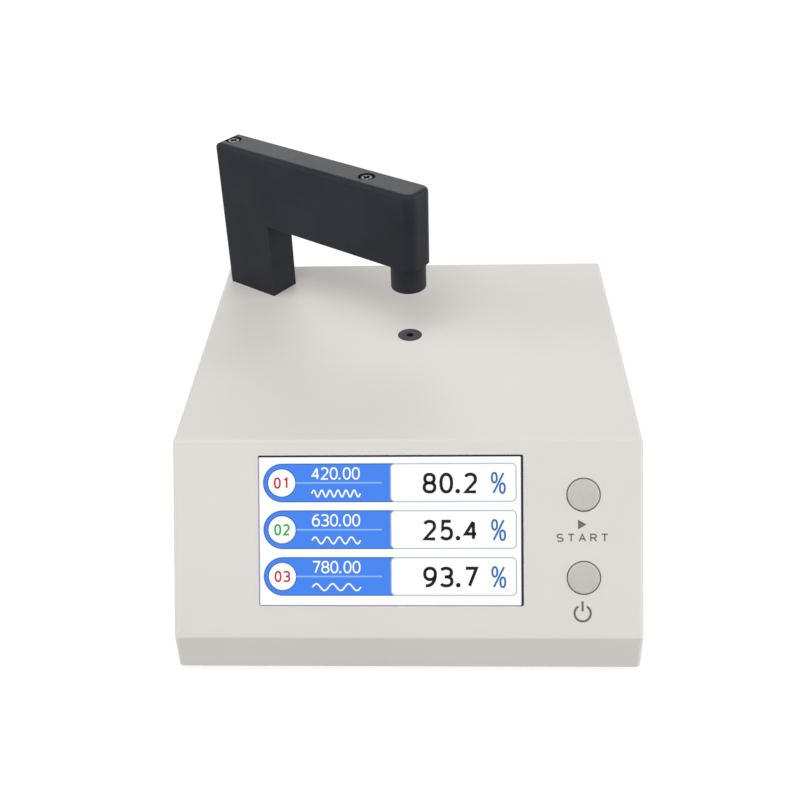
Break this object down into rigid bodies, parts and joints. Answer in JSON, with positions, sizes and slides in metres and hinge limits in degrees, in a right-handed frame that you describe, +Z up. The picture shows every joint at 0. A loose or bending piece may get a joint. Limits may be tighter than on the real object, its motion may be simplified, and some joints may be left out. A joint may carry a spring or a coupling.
{
  "type": "transmittance meter",
  "caption": "Bench transmittance meter with a sloped front panel, colour display, push buttons and a fixed arm that holds a light barrel over a measuring aperture in the flat top.",
  "frame": {"origin": "centre of the footprint, on the plane that the feet rest on", "axes": "+Z up, front panel faces -Y, +X to the right seen from the front"},
  "size_m": [0.1706, 0.178, 0.1435],
  "materials": {
    "housing": "fine satin texture",
    "base_metal": "plain sheet",
    "rubber": "matt",
    "screw_steel": "plain",
    "screw_black": "black oxide",
    "display": "display surface",
    "circuit_board": "solder resist",
    "ribbon": "polyimide film",
    "black_plastic": "moulded",
    "key_cap": "satin",
    "standoff_brass": "turned",
    "white_plastic": "moulded",
    "black_aluminium": "black anodised, fine bead blasted",
    "cable_jacket": "matt",
    "optical_glass": "polished",
    "led_resin": "clear resin"
  },
  "bodies": {
    "housing": {"housing_shell": "housing", "base_plate": "base_metal", "rubber_feet": "rubber", "base_screws": "screw_steel", "display_panel": "display", "display_board": "circuit_board", "display_screws": "screw_steel", "display_ribbon": "ribbon", "button_board": "circuit_board", "button_board_screws": "screw_steel", "switch_bodies": "black_plastic", "main_board": "circuit_board", "board_standoffs": "standoff_brass", "board_screws": "screw_steel", "board_chips": "black_plastic", "power_jack": "black_plastic", "cable_connector": "white_plastic", "arm_body": "black_aluminium", "arm_cover": "black_aluminium", "arm_cover_screws": "screw_black", "arm_backing_plate": "base_metal", "arm_fixing_screws": "screw_steel", "arm_cable": "cable_jacket", "light_barrel": "black_aluminium", "barrel_lens": "optical_glass", "lens_ring": "black_aluminium", "led_board": "circuit_board", "emitter_leds": "led_resin", "aperture_ring": "black_aluminium", "aperture_window": "optical_glass", "sensor_holder": "black_plastic", "sensor_holder_screws": "screw_steel", "sensor_board": "circuit_board", "photodiode": "black_plastic"},
    "operation_key": {"operation_button": "key_cap", "operation_plunger": "black_plastic"},
    "power_key": {"power_button": "key_cap", "power_plunger": "black_plastic"}
  },
  "joints": [
    {"name": "operation_press", "type": "slide", "parent": "housing", "child": "operation_key", "axis": [0, 0.8405, -0.5418], "range_m": [0, 0.0005], "stiffness_N_per_m": 800, "springref_m": -0.0005},
    {"name": "power_press", "type": "slide", "parent": "housing", "child": "power_key", "axis": [0, 0.8405, -0.5418], "range_m": [0, 0.0005], "stiffness_N_per_m": 800, "springref_m": -0.0005}
  ]
}
